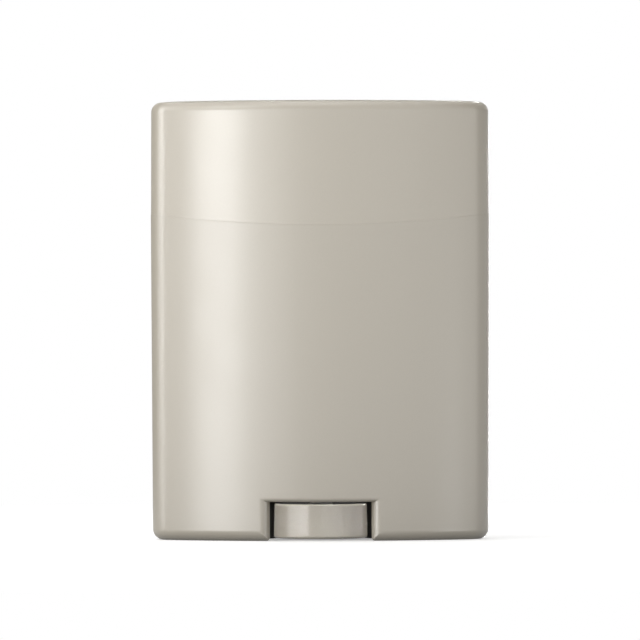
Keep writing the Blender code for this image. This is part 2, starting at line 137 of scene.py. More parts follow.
def skin(height):
    """Inset of the drafted outer skin: none at the seam, most at the two ends."""
    if height > SEAM_CENTRE:
        return CAP_DRAFT * (height - SEAM_CENTRE) / (HEIGHT - SEAM_CENTRE)
    return CASE_DRAFT * (SEAM_CENTRE - height) / SEAM_CENTRE


def ring(inset, height, on_seam=False, share=1):
    """The outline at an inset and height, shrunk by a share where a crown needs it."""
    points = []
    for x, y in oval_outline(inset):
        lift = seam_lift(x) if on_seam else 0
        points.append(Vector((x * share, y * share, height + lift)))
    return points


def arc(centre_inset, centre_height, radius, start, stop, steps):
    """Places on a rounded edge as (inset, height). Angle 0 faces out and 90 faces up."""
    places = []
    for step in range(steps + 1):
        angle = (start + (stop - start) * step / steps) * DEG
        places.append((
            centre_inset - radius * math.cos(angle),
            centre_height + radius * math.sin(angle),
        ))
    return places


def rings(places, on_seam=False):
    """One ring for each place, given as (inset, height)."""
    return [ring(inset, height, on_seam) for inset, height in places]


# %% Meshes from rings
SQUARE = ((-1, -1), (1, -1), (1, 1), (-1, 1))
COLUMN_STEPS = 96


def add_object(name, data):
    """New object in the scene for a mesh, a lamp or a camera."""
    added = bpy.data.objects.new(name, data)
    scene.collection.objects.link(added)
    return added


def add_sheet(name, corners):
    """One flat face with four corners."""
    mesh = bpy.data.meshes.new(name)
    mesh.from_pydata(corners, [], [(0, 1, 2, 3)])
    return add_object(name, mesh)


def add_mesh(name, points, faces):
    """Body of many faces, all of which look outward."""
    mesh = bpy.data.meshes.new(name)
    mesh.from_pydata(points, [], faces)
    editable = bmesh.new()
    editable.from_mesh(mesh)
    bmesh.ops.recalc_face_normals(editable, faces=editable.faces)
    editable.to_mesh(mesh)
    editable.free()
    return add_object(name, mesh)


def loft(name, rows):
    """Closed body with its skin through rows of equal count and a cap at each end."""
    count = len(rows[0])
    points = [point for row in rows for point in row]
    faces = []
    for row in range(len(rows) - 1):
        for step in range(count):
            beside = (step + 1) % count
            low = row * count
            faces.append((low + step, low + beside, low + count + beside, low + count + step))
    faces.append(range(count))
    faces.append(range(len(points) - count, len(points)))
    return add_mesh(name, points, faces)


def turned(name, profile, steps):
    """Body turned about Z from (radius, height) pairs. A radius of 0 becomes one point."""
    points = []
    starts = []
    for radius, height in profile:
        starts.append(len(points))
        count = 1 if radius == 0 else steps
        for step in range(count):
            angle = 2 * math.pi * step / steps
            points.append((radius * math.cos(angle), radius * math.sin(angle), height))
    faces = []
    for index in range(len(profile) - 1):
        upper, lower = starts[index], starts[index + 1]
        for step in range(steps):
            beside = (step + 1) % steps
            corners = [
                upper + (step if profile[index][0] else 0),
                upper + (beside if profile[index][0] else 0),
                lower + (beside if profile[index + 1][0] else 0),
                lower + (step if profile[index + 1][0] else 0),
            ]
            faces.append(list(dict.fromkeys(corners)))
    return add_mesh(name, points, faces)


def column(name, radius, low, high, steps=COLUMN_STEPS):
    return turned(name, [(0, high), (radius, high), (radius, low), (0, low)], steps)


def block(name, size_x, size_y, low, high):
    return loft(name, [
        [Vector((x * size_x / 2, y * size_y / 2, z)) for x, y in SQUARE] for z in (low, high)
    ])


# %% [markdown]
# ## Cutting and smoothing
# Openings are cut with an exact Boolean, and its result replaces the mesh, so no cutter is
# left in the scene. Weighted normals then keep the broad faces flat in the light while the
# small fillets beside them stay round.

# %% Carve, smooth and hand a piece to its body
SHARP_ANGLE = 32 * DEG


def carve(piece, cutter, operation="DIFFERENCE"):
    """Cut or join with a second body, and keep only the result."""
    modifier = piece.modifiers.new("Carve", "BOOLEAN")
    modifier.operation = operation
    modifier.solver = "EXACT"
    modifier.object = cutter
    evaluated = piece.evaluated_get(bpy.context.evaluated_depsgraph_get())
    result = bpy.data.meshes.new_from_object(evaluated)
    piece.modifiers.clear()
    piece.data = result
    bpy.data.objects.remove(cutter, do_unlink=True)


def dress(piece, material, body, node):
    """Smooth a piece, give it its finish, and let it stand for its CAD node."""
    piece.data.shade_smooth()
    piece.data.set_sharp_from_angle(angle=SHARP_ANGLE)
    normals = piece.modifiers.new("Face weights", "WEIGHTED_NORMAL")
    normals.keep_sharp = True
    piece.data.materials.clear()
    piece.data.materials.append(material)
    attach(piece, body)
    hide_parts(node)
    print(piece.name, "rides on", body, "with", len(piece.data.polygons), "faces")


# %% [markdown]
# ## Satin pearl paint
# The case and cap are plastic under a greige paint with fine mica in it. The mica gives a broad soft
# highlight and a barely visible grain. The flakes are coated with an oxide of high refractive index, so the
# paint mirrors more than plain lacquer does, and its highlights are white and not greige. A high index does
# that here. A noise of a tenth of a millimetre breaks up the colour and the surface, and a much coarser one
# the gloss. The cap's paint is a touch lighter than the case's, which is most of what shows of the seam.

# %% A finish from noise
NOISE_LOW = 0.3
NOISE_HIGH = 0.7


def finish_nodes(name):
    """A new material with its Principled shader and object coordinates."""
    material = bpy.data.materials.new(name)
    material.use_nodes = True
    nodes = material.node_tree.nodes
    shader = nodes["Principled BSDF"]
    place = nodes.new("ShaderNodeTexCoord").outputs["Object"]
    return material, nodes, material.node_tree.links, shader, place


def add_noise(nodes, links, place, size, detail=3.0):
    """Noise whose lumps are about size across, in metres."""
    noise = nodes.new("ShaderNodeTexNoise")
    noise.inputs["Scale"].default_value = 1 / size
    noise.inputs["Detail"].default_value = detail
    links.new(place, noise.inputs["Vector"])
    return noise.outputs["Fac"]


def add_span(nodes, links, value, start, stop, low, high):
    """Goes from low to high while the value goes from start to stop, and no further."""
    span = nodes.new("ShaderNodeMapRange")
    span.inputs["From Min"].default_value = start
    span.inputs["From Max"].default_value = stop
    span.inputs["To Min"].default_value = low
    span.inputs["To Max"].default_value = high
    links.new(value, span.inputs["Value"])
    return span.outputs["Result"]


def add_maths(nodes, links, operation, *values):
    maths = nodes.new("ShaderNodeMath")
    maths.operation = operation
    for socket, value in zip(maths.inputs, values):
        links.new(value, socket)
    return maths.outputs["Value"]


def set_colour(nodes, links, noise, dark, light, shader):
    """Colour that goes from dark to light over the noise's middle band."""
    ramp = nodes.new("ShaderNodeValToRGB")
    for element, position, colour in zip(
        ramp.color_ramp.elements, (NOISE_LOW, NOISE_HIGH), (dark, light),
    ):
        element.position = position
        element.color = (*colour, 1)
    links.new(noise, ramp.inputs["Fac"])
    links.new(ramp.outputs["Color"], shader.inputs["Base Color"])


def set_roughness(nodes, links, noise, rough, spread, shader):
    """Roughness that the noise takes a spread to either side of its middle."""
    varied = add_span(nodes, links, noise, NOISE_LOW, NOISE_HIGH, rough - spread, rough + spread)
    links.new(varied, shader.inputs["Roughness"])


def set_bump(nodes, links, noise, height, shader):
    bump = nodes.new("ShaderNodeBump")
    bump.inputs["Distance"].default_value = height
    links.new(noise, bump.inputs["Height"])
    links.new(bump.outputs["Normal"], shader.inputs["Normal"])


def shade(colour, share):
    return tuple(channel * share for channel in colour)


# %% Pearl paint for case, cap and knob
GREIGE = (0.455, 0.41, 0.33)
PALE_GREIGE = (0.46, 0.42, 0.35)
CAP_SHARE = 1.03
PEARL_INDEX = 2.2
KNOB_INDEX = 1.9
CASE_ROUGH = 0.31
CAP_ROUGH = 0.29
KNOB_ROUGH = 0.17
CLOUD_SPREAD = 0.015
CLOUD_SIZE = 6 * MM
GRAIN_CONTRAST = 0.025
GRAIN_HEIGHT = 0.0004 * MM
PEARL_GRAIN = 0.12 * MM
KNOB_GRAIN = 0.2 * MM


def pearl_paint(name, colour, rough, grain, index):
    """Paint with a fine grain in its colour and surface and wide clouds in its gloss."""
    material, nodes, links, shader, place = finish_nodes(name)
    flakes = add_noise(nodes, links, place, grain)
    dark, light = shade(colour, 1 - GRAIN_CONTRAST), shade(colour, 1 + GRAIN_CONTRAST)
    set_colour(nodes, links, flakes, dark, light, shader)
    clouds = add_noise(nodes, links, place, CLOUD_SIZE)
    set_roughness(nodes, links, clouds, rough, CLOUD_SPREAD, shader)
    set_bump(nodes, links, flakes, GRAIN_HEIGHT, shader)
    shader.inputs["IOR"].default_value = index
    return material


case_paint = pearl_paint("case pearl paint", GREIGE, CASE_ROUGH, PEARL_GRAIN, PEARL_INDEX)
cap_paint = pearl_paint("cap pearl paint", shade(GREIGE, CAP_SHARE), CAP_ROUGH, PEARL_GRAIN, PEARL_INDEX)
knob_gloss = pearl_paint("knob gloss", PALE_GREIGE, KNOB_ROUGH, KNOB_GRAIN, KNOB_INDEX)

# %% [markdown]
# ## White mouldings, balm and seal
# The inner parts are natural white plastic, which lets a little light in, so each has a
# weak subsurface glow. The balm is waxy and ivory, and its cast skin is never quite even.

# %% Inner finishes
WHITE = (0.80, 0.79, 0.76)
IVORY = (0.83, 0.79, 0.68)
SEAL_GREY = (0.66, 0.65, 0.62)
LUMP_SHADE = 0.98
LUMP_DETAIL = 4.0
LUMP_SPREAD = 0.04
# How far red, green and blue go in, as shares of the depth.
GLOW_REACH = (1.0, 0.9, 0.75)
# Colour, roughness, size of a lump, share of glow, its depth, and how high a lump is.
SOFT_FINISHES = {
    "sleeve white": (WHITE, 0.3, 0.8 * MM, 0.15, 0.6 * MM, 0.001 * MM),
    "liner white": (WHITE, 0.42, 0.4 * MM, 0.15, 0.6 * MM, 0.003 * MM),
    "screw white": (WHITE, 0.4, 0.4 * MM, 0.1, 0.5 * MM, 0.002 * MM),
    "sun balm": (IVORY, 0.42, 3 * MM, 0.4, 1.5 * MM, 0.05 * MM),
    "seal rubber": (SEAL_GREY, 0.6, 0.2 * MM, 0.1, 0.3 * MM, 0.002 * MM),
}


def soft_finish(name, colour, rough, size, glow, depth, height):
    """A finish that light goes into, with small lumps in its colour, gloss and surface."""
    material, nodes, links, shader, place = finish_nodes(name)
    lumps = add_noise(nodes, links, place, size, LUMP_DETAIL)
    set_colour(nodes, links, lumps, shade(colour, LUMP_SHADE), colour, shader)
    set_roughness(nodes, links, lumps, rough, LUMP_SPREAD, shader)
    set_bump(nodes, links, lumps, height, shader)
    shader.inputs["Subsurface Weight"].default_value = glow
    shader.inputs["Subsurface Radius"].default_value = GLOW_REACH
    shader.inputs["Subsurface Scale"].default_value = depth
    return material


sleeve_white, liner_white, screw_white, balm_wax, seal_rubber = (
    soft_finish(name, *finish) for name, finish in SOFT_FINISHES.items()
)

# %% [markdown]
# ## The cap
# The outer cap is one painted moulding: sides that draw in a touch towards the top, a
# rounded top edge and a fine rim on the seam. The top isn't quite flat. Its edge runs into a
# very shallow crown, which shows in the outline as a soft fall towards both ends, and an
# arc of large radius with only a few degrees of sweep gives it. At the seam the cap stands
# back from the case by the width of a hair, so that the case's rounded rim catches a thin
# line of light. The cap is hollow, as it shows when it is lifted.

# %% Outer cap
CAP_WALL = 1.0 * MM
CAP_ROOF = 1.2 * MM
CAP_CORNER = 0.6 * MM
TOP_EDGE_RADIUS = 1.5 * MM
TOP_CROWN_DROP = 0.17 * MM
CROWN_REACH_SHARE = 0.9
SEAM_HALF_GAP = 0.001 * MM
CAP_RIM_RADIUS = 0.008 * MM
CAP_STEP = 0.03 * MM
CORNER_STEPS = 6
RIM_STEPS = 4
TOP_EDGE_STEPS = 16
CROWN_STEPS = 8
# Where the rings of the sides stand, from the seam at 0 to the top edge at 1.
CAP_RING_SHARES = (0.15, 0.4, 0.7)
ceiling = HEIGHT - CAP_ROOF
rim = SEAM_CENTRE + SEAM_HALF_GAP


def crowned_top(inset, radius, drop, reach):
    """Places over a rounded edge that runs into a shallow crown, from the side inward."""
    sweep = 2 * math.atan(drop / reach)
    edge_stop = 90 - sweep / DEG
    edge_centre = HEIGHT - drop - radius * math.cos(sweep)
    crown_radius = reach / math.sin(sweep)
    crown_centre = inset + radius * (1 - math.sin(sweep)) + reach
    edge = arc(inset + radius, edge_centre, radius, 0, edge_stop, TOP_EDGE_STEPS)
    crown = arc(crown_centre, HEIGHT - crown_radius, crown_radius, edge_stop, 90, CROWN_STEPS)
    return edge + crown[1:]


crown_reach = (END_RADIUS - CAP_DRAFT - TOP_EDGE_RADIUS) * CROWN_REACH_SHARE
top_places = crowned_top(CAP_DRAFT, TOP_EDGE_RADIUS, TOP_CROWN_DROP, crown_reach)

inner_arc = arc(CAP_WALL + CAP_CORNER, ceiling - CAP_CORNER, CAP_CORNER, 90, 0, CORNER_STEPS)
cap_rows = rings(inner_arc)
cap_rows += rings([
    (CAP_WALL, rim + CAP_RIM_RADIUS),
    (CAP_WALL + CAP_RIM_RADIUS / 2, rim),
    (CAP_STEP + CAP_RIM_RADIUS * 2, rim),
], on_seam=True)
rim_arc = arc(CAP_STEP + CAP_RIM_RADIUS, rim + CAP_RIM_RADIUS, CAP_RIM_RADIUS, -90, 0, RIM_STEPS)
cap_rows += rings(rim_arc, on_seam=True)
for share in CAP_RING_SHARES:
    height = rim + SEAM_SAG + (top_places[0][1] - rim - SEAM_SAG) * share
    cap_rows.append(ring(skin(height) + CAP_STEP * (1 - share), height))
cap_rows += rings(top_places)
cap_outer = loft("cap_outer", cap_rows)
dress(cap_outer, cap_paint, "cap", "cap_shell")

# %% [markdown]
# The liner is the white cup inside the cap. A rounded bead near its mouth clicks under the
# bead on the neck, so it is drawn as a smooth swelling and not as a step.

# %% Cap liner
FIT = 0.25 * MM
LINER_WALL = 0.6 * MM
LINER_ROOF = 0.8 * MM
SNAP_BEAD = 0.1 * MM
SNAP_BEAD_RISE = 0.4 * MM
SNAP_HEIGHT = 4.0 * MM
SNAP_STEP = 1.0 * MM
LINER_RIM_STEP = 0.12 * MM
BEAD_STEPS = 6
liner_outer = CAP_WALL + FIT
liner_inner = liner_outer + LINER_WALL
liner_top = ceiling - FIT
liner_ceiling = liner_top - LINER_ROOF
liner_rim = SEAM_CENTRE + LINER_RIM_STEP


def bead(inset, height, swell):
    """A smooth bead on a wall, from above to below, swelling by swell towards the middle."""
    places = []
    for step in range(2 * BEAD_STEPS + 1):
        place = 1 - step / BEAD_STEPS
        places.append((
            inset + swell * math.cos(place * QUARTER) ** 2,
            height + SNAP_BEAD_RISE * place,
        ))
    return places


inner_arc = arc(liner_inner + CAP_CORNER, liner_ceiling - CAP_CORNER, CAP_CORNER, 90, 0, CORNER_STEPS)
outer_arc = arc(liner_outer + CAP_CORNER, liner_top - CAP_CORNER, CAP_CORNER, 0, 90, CORNER_STEPS)
liner_rows = rings(inner_arc)
liner_rows += rings(bead(liner_inner, SEAM_CENTRE + SNAP_HEIGHT, SNAP_BEAD))
liner_rows += rings([(liner_inner, liner_rim), (liner_outer, liner_rim)], on_seam=True)
liner_rows += rings(outer_arc)
cap_inner = loft("cap_inner", liner_rows)
dress(cap_inner, liner_white, "cap", "cap_liner")
print("liner top in mm, drawn and packed", round(liner_top / MM, 2), round(liner_high[2] / MM, 2))

# %% [markdown]
# ## The case and its notch
# The case is the skilled piece. Its base edge is rounded all round, and the knob sits in a
# notch whose mouths are rounded as well: widely at the sides, less under the roof, and the
# two meet in a mitre. The cutter is a loft of inverted U shapes. At a mouth, each lies on
# the oval skin moved inward by a depth, and opens by what a fillet opens at that depth, so
# the rounding follows the curved face by itself. The gaps beside the knob look black, so no
# light comes through from behind: the U's close in round the back of the knob and their
# roof steps down there.

# %% The knob's notch
KNOB_SIDE_GAP = 0.55 * MM
KNOB_ROOF_GAP = 0.45 * MM
BACK_NOTCH_STEP = 1.3 * MM
BACK_ROOF_STEP = 0.75 * MM
NOTCH_SIDE_FILLET = 1.65 * MM
NOTCH_ROOF_FILLET = 0.6 * MM
NOTCH_FOOT_FILLET = 0.5 * MM
OVERRUN = 1.0 * MM
KNOB_RADIUS = (knob_high[0] - knob_low[0]) / 2
NOTCH_HALF = KNOB_RADIUS + KNOB_SIDE_GAP
NOTCH_ROOF = knob_high[2] + KNOB_ROOF_GAP
BACK_NOTCH_HALF = NOTCH_HALF - BACK_NOTCH_STEP
BACK_NOTCH_ROOF = NOTCH_ROOF - BACK_ROOF_STEP
FILLET_STEPS = 14
FOOT_STEPS = 6
ROOF_STEPS = 36
POCKET_STEPS = 10


def fillet_flare(radius, depth):
    """How far a rounded edge opens at a depth below the surface that it rounds."""
    if depth >= radius:
        return 0
    return radius - math.sqrt(radius ** 2 - (radius - max(depth, 0)) ** 2)


def notch_outline(half, roof):
    """Inverted U as (x, height) from left foot to right foot, opening out at the feet."""
    left = [(-half - NOTCH_FOOT_FILLET, -OVERRUN)]
    for step in range(FOOT_STEPS + 1):
        height = NOTCH_FOOT_FILLET * (1 - math.cos(QUARTER * step / FOOT_STEPS))
        left.append((-half - fillet_flare(NOTCH_FOOT_FILLET, height), height))
    line = [(half * (2 * step / ROOF_STEPS - 1), roof) for step in range(ROOF_STEPS + 1)]
    right = [(-x, height) for x, height in reversed(left)]
    return left + line + right


def notch_mouth(half, roof, side):
    """Sections on the case's skin, from outside it inward. Side is -1 in front, 1 behind."""
    face_radius, face_back = face_arc()
    sections = []
    for step in range(FILLET_STEPS + 1):
        depth = NOTCH_SIDE_FILLET * (1 - math.cos(QUARTER * step / FILLET_STEPS))
        outline = notch_outline(
            half + fillet_flare(NOTCH_SIDE_FILLET, depth),
            roof + fillet_flare(NOTCH_ROOF_FILLET, depth),
        )
        section = []
        for x, height in outline:
            inset = skin(max(height, 0)) + depth
            y = math.sqrt((face_radius - inset) ** 2 - x ** 2) - face_back
            section.append(Vector((x, side * y, height)))
        sections.append(section)
    outside = side * (DEPTH / 2 + OVERRUN)
    sections.insert(0, [Vector((point.x, outside, point.z)) for point in sections[0]])
    return sections


def knob_pocket():
    """Sections that close in behind the knob and then step down."""
    closing = math.acos(BACK_NOTCH_HALF / NOTCH_HALF)
    places = []
    for step in range(POCKET_STEPS + 1):
        angle = closing * step / POCKET_STEPS
        places.append((NOTCH_HALF * math.cos(angle), NOTCH_ROOF, NOTCH_HALF * math.sin(angle)))
    places.append((BACK_NOTCH_HALF, NOTCH_ROOF, KNOB_RADIUS + KNOB_SIDE_GAP / 2))
    places.append((BACK_NOTCH_HALF, BACK_NOTCH_ROOF, NOTCH_HALF))
    return [
        [Vector((x, y, height)) for x, height in notch_outline(half, roof)]
        for half, roof, y in places
    ]


def notch_cutter():
    front = notch_mouth(NOTCH_HALF, NOTCH_ROOF, -1)
    back = notch_mouth(BACK_NOTCH_HALF, BACK_NOTCH_ROOF, 1)
    return loft("notch", front + knob_pocket() + back[::-1])


# %% [markdown]
# Where the mouths' rounding ends, the paint gives way to painted shade: a near-black, rough colour with
# little gloss, which makes the gaps around the knob look black, as shade deep in the notch would. A mask
# made from the place in the object swaps the colour and the gloss there.

# %% Painted shade in the notch
# Painted shade: a near-black, rough and dull finish that stands in for the shade inside the notch and on
# the knob's top.
PAINTED_SHADE_COLOUR = (0.006, 0.006, 0.005)
PAINTED_SHADE_ROUGH = 0.9
PAINTED_SHADE_GLOSS = 0.05
SHADE_FADE = 0.4 * MM
HAIR = 0.03 * MM
# Places of a Mix node's two colours and its result, whose names its number sockets share.
MIX_FIRST, MIX_SECOND, MIX_RESULT = 6, 7, 2
shade_start = DEPTH / 2 - NOTCH_SIDE_FILLET - 2 * SHADE_FADE


def add_step(nodes, links, value, edge, fade):
    """1 up to the edge, falling to 0 over the fade. A negative fade keeps what is above it."""
    return add_span(nodes, links, value, edge, edge + fade, 1, 0)


def add_axes(nodes, links):
    axes = nodes.new("ShaderNodeSeparateXYZ")
    links.new(nodes["Texture Coordinate"].outputs["Object"], axes.inputs["Vector"])
    return axes.outputs


def paint_shade_where(nodes, links, mask):
    """Swap a paint's colour, roughness and gloss for painted shade where the mask is 1."""
    sockets = nodes["Principled BSDF"].inputs
    colours = nodes.new("ShaderNodeMix")
    colours.data_type = "RGBA"
    colours.inputs[MIX_SECOND].default_value = (*PAINTED_SHADE_COLOUR, 1)
    links.new(mask, colours.inputs["Factor"])
    links.new(sockets["Base Color"].links[0].from_socket, colours.inputs[MIX_FIRST])
    links.new(colours.outputs[MIX_RESULT], sockets["Base Color"])
    rough = add_span(nodes, links, mask, 0, 1, 0, PAINTED_SHADE_ROUGH)
    links.new(sockets["Roughness"].links[0].from_socket, rough.node.inputs["To Min"])
    links.new(rough, sockets["Roughness"])
    gloss = sockets["Specular IOR Level"]
    links.new(add_span(nodes, links, mask, 0, 1, gloss.default_value, PAINTED_SHADE_GLOSS), gloss)


def paint_shade_in_notch(material):
    nodes, links = material.node_tree.nodes, material.node_tree.links
    axes = add_axes(nodes, links)
    inside = add_step(nodes, links, axes["Z"], NOTCH_ROOF + HAIR, HAIR)
    for axis, edge, fade in (("X", NOTCH_HALF + HAIR, HAIR), ("Y", shade_start, SHADE_FADE)):
        away = add_maths(nodes, links, "ABSOLUTE", axes[axis])
        step = add_step(nodes, links, away, edge, fade)
        inside = add_maths(nodes, links, "MULTIPLY", inside, step)
    paint_shade_where(nodes, links, inside)


# Painted shade on whatever lies above a height, here the knob's top face.
def paint_shade_on_top(material, height):
    nodes, links = material.node_tree.nodes, material.node_tree.links
    above = add_step(nodes, links, add_axes(nodes, links)["Z"], height - HAIR / 2, -HAIR)
    paint_shade_where(nodes, links, above)


# Paints shade into the notch: inside it the case turns near-black and dull.
paint_shade_in_notch(case_paint)

# %% Outer case
CASE_WALL = 1.1 * MM
LEG_WALL = 1.3 * MM
LEG_FLOOR = 1.4 * MM
DECK = 1.5 * MM
BASE_EDGE_RADIUS = 1.6 * MM
CASE_RIM_RADIUS = 0.06 * MM
BEARING_RADIUS = 2.8 * MM
CASE_LIP = 0.05 * MM
BASE_STEPS = 14
case_rim = SEAM_CENTRE - SEAM_HALF_GAP
deck_top = NOTCH_ROOF + DECK


def leg_pockets():
    """The hollows in the two legs, cored from above on either side of the channel."""
    high = deck_top + OVERRUN
    pockets = loft("leg_pockets", [
        ring(LEG_WALL + skin(LEG_FLOOR), LEG_FLOOR),
        ring(LEG_WALL + skin(high), high),
    ])
    half = NOTCH_HALF + NOTCH_SIDE_FILLET + LEG_WALL
    carve(pockets, block("channel_core", 2 * half, DEPTH, 0, high + OVERRUN))
    return pockets


# Rings of the sides from the base up, close together round the roof of the notch.
case_ring_heights = (
    3 * MM, NOTCH_ROOF, NOTCH_ROOF + 1.2 * MM, deck_top + 1 * MM, 14 * MM, 26 * MM, 38 * MM,
)
base_arc = arc(CASE_DRAFT + BASE_EDGE_RADIUS, BASE_EDGE_RADIUS, BASE_EDGE_RADIUS, -90, 0, BASE_STEPS)
rim_arc = arc(CASE_RIM_RADIUS, case_rim - CASE_RIM_RADIUS, CASE_RIM_RADIUS, 0, 90, CORNER_STEPS)
case_rows = rings(base_arc)
for height in case_ring_heights:
    case_rows.append(ring(skin(height), height))
case_rows += rings(rim_arc, on_seam=True)
case_rows += rings([(CASE_WALL - CASE_LIP, case_rim), (CASE_WALL, case_rim - CASE_LIP)], on_seam=True)
case_rows.append(ring(CASE_WALL + skin(deck_top), deck_top))
case_outer = loft("case_outer", case_rows)
carve(case_outer, leg_pockets())
carve(case_outer, notch_cutter())
carve(case_outer, column("case_bearing", BEARING_RADIUS, NOTCH_ROOF - OVERRUN, deck_top + OVERRUN))
dress(case_outer, case_paint, "case", "case_shell")

# %% [markdown]
# ## The inner sleeve
# The sleeve is pressed into the case. Its neck stands proud of the seam with a bead for the
# cap and a small lead-in at the mouth, and its bore guides the elevator.

# %% Inner sleeve
NECK_WALL = 0.75 * MM
NECK_LEAD_IN = 0.25 * MM
SLEEVE_FLOOR = 1.0 * MM
SLEEVE_EDGE = 0.1 * MM
SHOULDER_DROP = 0.15 * MM
neck_outer = liner_inner + FIT
neck_inner = neck_outer + NECK_WALL
neck_top = sleeve_high[2]
sleeve_base = sleeve_low[2]
sleeve_outer = CASE_WALL + FIT
shoulder = SEAM_CENTRE - SHOULDER_DROP
neck_bead = bead(neck_outer, SEAM_CENTRE + SNAP_HEIGHT + SNAP_STEP, -SNAP_BEAD)
shoulder_arc = arc(sleeve_outer + SLEEVE_EDGE, shoulder - SLEEVE_EDGE, SLEEVE_EDGE, 0, 90, RIM_STEPS)
mouth_arc = arc(neck_outer + NECK_LEAD_IN, neck_top - NECK_LEAD_IN, NECK_LEAD_IN, 0, 90, CORNER_STEPS)

sleeve_rows = rings([(sleeve_outer + skin(sleeve_base), sleeve_base)])
sleeve_rows += rings(shoulder_arc, on_seam=True)
sleeve_rows += rings([(neck_outer, shoulder)], on_seam=True)
sleeve_rows += rings(reversed(neck_bead))
sleeve_rows += rings(mouth_arc)
sleeve_rows += rings([
    (neck_inner - SLEEVE_EDGE, neck_top),
    (neck_inner, neck_top - SLEEVE_EDGE),
    (neck_inner, sleeve_base + SLEEVE_FLOOR),
])
sleeve_inner = loft("sleeve_inner", sleeve_rows)
bearing = column("sleeve_bearing", BEARING_RADIUS, sleeve_base - OVERRUN, sleeve_base + 2 * OVERRUN)
carve(sleeve_inner, bearing)
dress(sleeve_inner, sleeve_white, "case", "inner_sleeve")

# %% [markdown]
# ## Screw, nut and seal
# The thread is a round one: a circle whose centre goes once round the axis in each pitch.
# The same circle, a little larger, cuts the nut, so the two mesh at every angle.

# %% Lead screw
THREAD_PITCH = 3.0 * MM
THREAD_RADIUS = 2.75 * MM
THREAD_LEAN = 0.45 * MM
THREAD_GAP = 0.25 * MM
THREAD_SIDES = 40
THREAD_ROWS_A_TURN = 24
JOURNAL_RADIUS = 2.6 * MM
FLANGE_RADIUS = 4.8 * MM
FLANGE_THICKNESS = 0.8 * MM
DRIVE_SIDE = 3.4 * MM
SCREW_BEVEL = 0.2 * MM
O_RING_WIRE = 0.6 * MM
O_RING_GAP = 0.1 * MM
screw_low, screw_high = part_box("lead_screw")
seal_low, seal_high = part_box("screw_o_ring")
flange_base = seal_high[2] + O_RING_GAP
flange_top = flange_base + FLANGE_THICKNESS
screw_shoulder = knob_high[2] + FIT


def thread_rod(name, radius, low, high):
    """Left-hand round thread between two heights."""
    rows = math.ceil(THREAD_ROWS_A_TURN * (high - low) / THREAD_PITCH)
    stack = []
    for row in range(rows + 1):
        height = low + (high - low) * row / rows
        turn = -2 * math.pi * height / THREAD_PITCH
        centre = Vector((THREAD_LEAN * math.cos(turn), THREAD_LEAN * math.sin(turn), height))
        stack.append([
            centre + Vector((radius * math.cos(angle), radius * math.sin(angle), 0))
            for angle in (2 * math.pi * side / THREAD_SIDES for side in range(THREAD_SIDES))
        ])
    return loft(name, stack)


spindle = turned("lead_spindle", [
    (0, flange_top),
    (FLANGE_RADIUS - SCREW_BEVEL, flange_top),
    (FLANGE_RADIUS, flange_top - SCREW_BEVEL),
    (FLANGE_RADIUS, flange_base),
    (JOURNAL_RADIUS, flange_base),
    (JOURNAL_RADIUS, screw_shoulder + SCREW_BEVEL),
    (JOURNAL_RADIUS - SCREW_BEVEL, screw_shoulder),
    (0, screw_shoulder),
], COLUMN_STEPS)
thread = thread_rod("thread", THREAD_RADIUS, flange_top - FLANGE_THICKNESS / 2, screw_high[2])
carve(spindle, thread, "UNION")
carve(spindle, block("drive", DRIVE_SIDE, DRIVE_SIDE, screw_low[2], flange_base), "UNION")
dress(spindle, screw_white, "dial", "lead_screw")

# %% Seal ring
O_RING_STEPS = 72
WIRE_STEPS = 24
bpy.ops.mesh.primitive_torus_add(
    major_radius=(seal_high[0] - seal_low[0]) / 2 - O_RING_WIRE, minor_radius=O_RING_WIRE,
    major_segments=O_RING_STEPS, minor_segments=WIRE_STEPS,
    location=(0, 0, (seal_low[2] + seal_high[2]) / 2),
)
seal = bpy.context.object
seal.name = "seal_ring"
dress(seal, seal_rubber, "dial", "screw_o_ring")

# %% [markdown]
# ## Elevator and balm
# The elevator is a shallow oval cup with a threaded tube, and the balm is cast on it. Four
# holes in its plate are there for the balm to key into. The bar's top is a low dome with soft
# shoulders, as it comes out of its mould.

# %% Elevator
BAR_INSET = neck_inner + FIT
ELEVATOR_PLATE = 1.0 * MM
CUP_DEPTH = 2.5 * MM
CUP_WALL = 0.7 * MM
NUT_LENGTH = 6.0 * MM
NUT_WALL = 1.1 * MM
KEY_HOLE_RADIUS = 1.2 * MM
KEY_HOLE_SPACING = 5.0 * MM
KEY_HOLE_STEPS = 32
CUP_BEVEL = 0.15 * MM
elevator_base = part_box("elevator")[0][2]
plate_top = elevator_base + ELEVATOR_PLATE
cup_top = plate_top + CUP_DEPTH
nut_radius = THREAD_RADIUS + THREAD_LEAN + THREAD_GAP + NUT_WALL
nut_top = elevator_base + NUT_LENGTH

cup = loft("elevator_cup", rings([
    (BAR_INSET + CUP_BEVEL, elevator_base),
    (BAR_INSET, elevator_base + CUP_BEVEL),
    (BAR_INSET, cup_top - CUP_BEVEL),
    (BAR_INSET + CUP_BEVEL, cup_top),
    (BAR_INSET + CUP_WALL, cup_top),
    (BAR_INSET + CUP_WALL, plate_top),
]))
carve(cup, column("nut_tube", nut_radius, elevator_base + ELEVATOR_PLATE / 2, nut_top), "UNION")
carve(cup, thread_rod("nut_thread", THREAD_RADIUS + THREAD_GAP, elevator_base - OVERRUN, nut_top + OVERRUN))
# The first and second hole to the left of the nut are -1 and -2, and to the right 1 and 2.
for place in (-2, -1, 1, 2):
    hole = column("key_hole", KEY_HOLE_RADIUS, elevator_base - OVERRUN, plate_top + FIT / 2, KEY_HOLE_STEPS)
    hole.location.x = math.copysign(nut_radius + (abs(place) - 1 / 2) * KEY_HOLE_SPACING, place)
    carve(cup, hole)
dress(cup, screw_white, "carrier", "elevator")

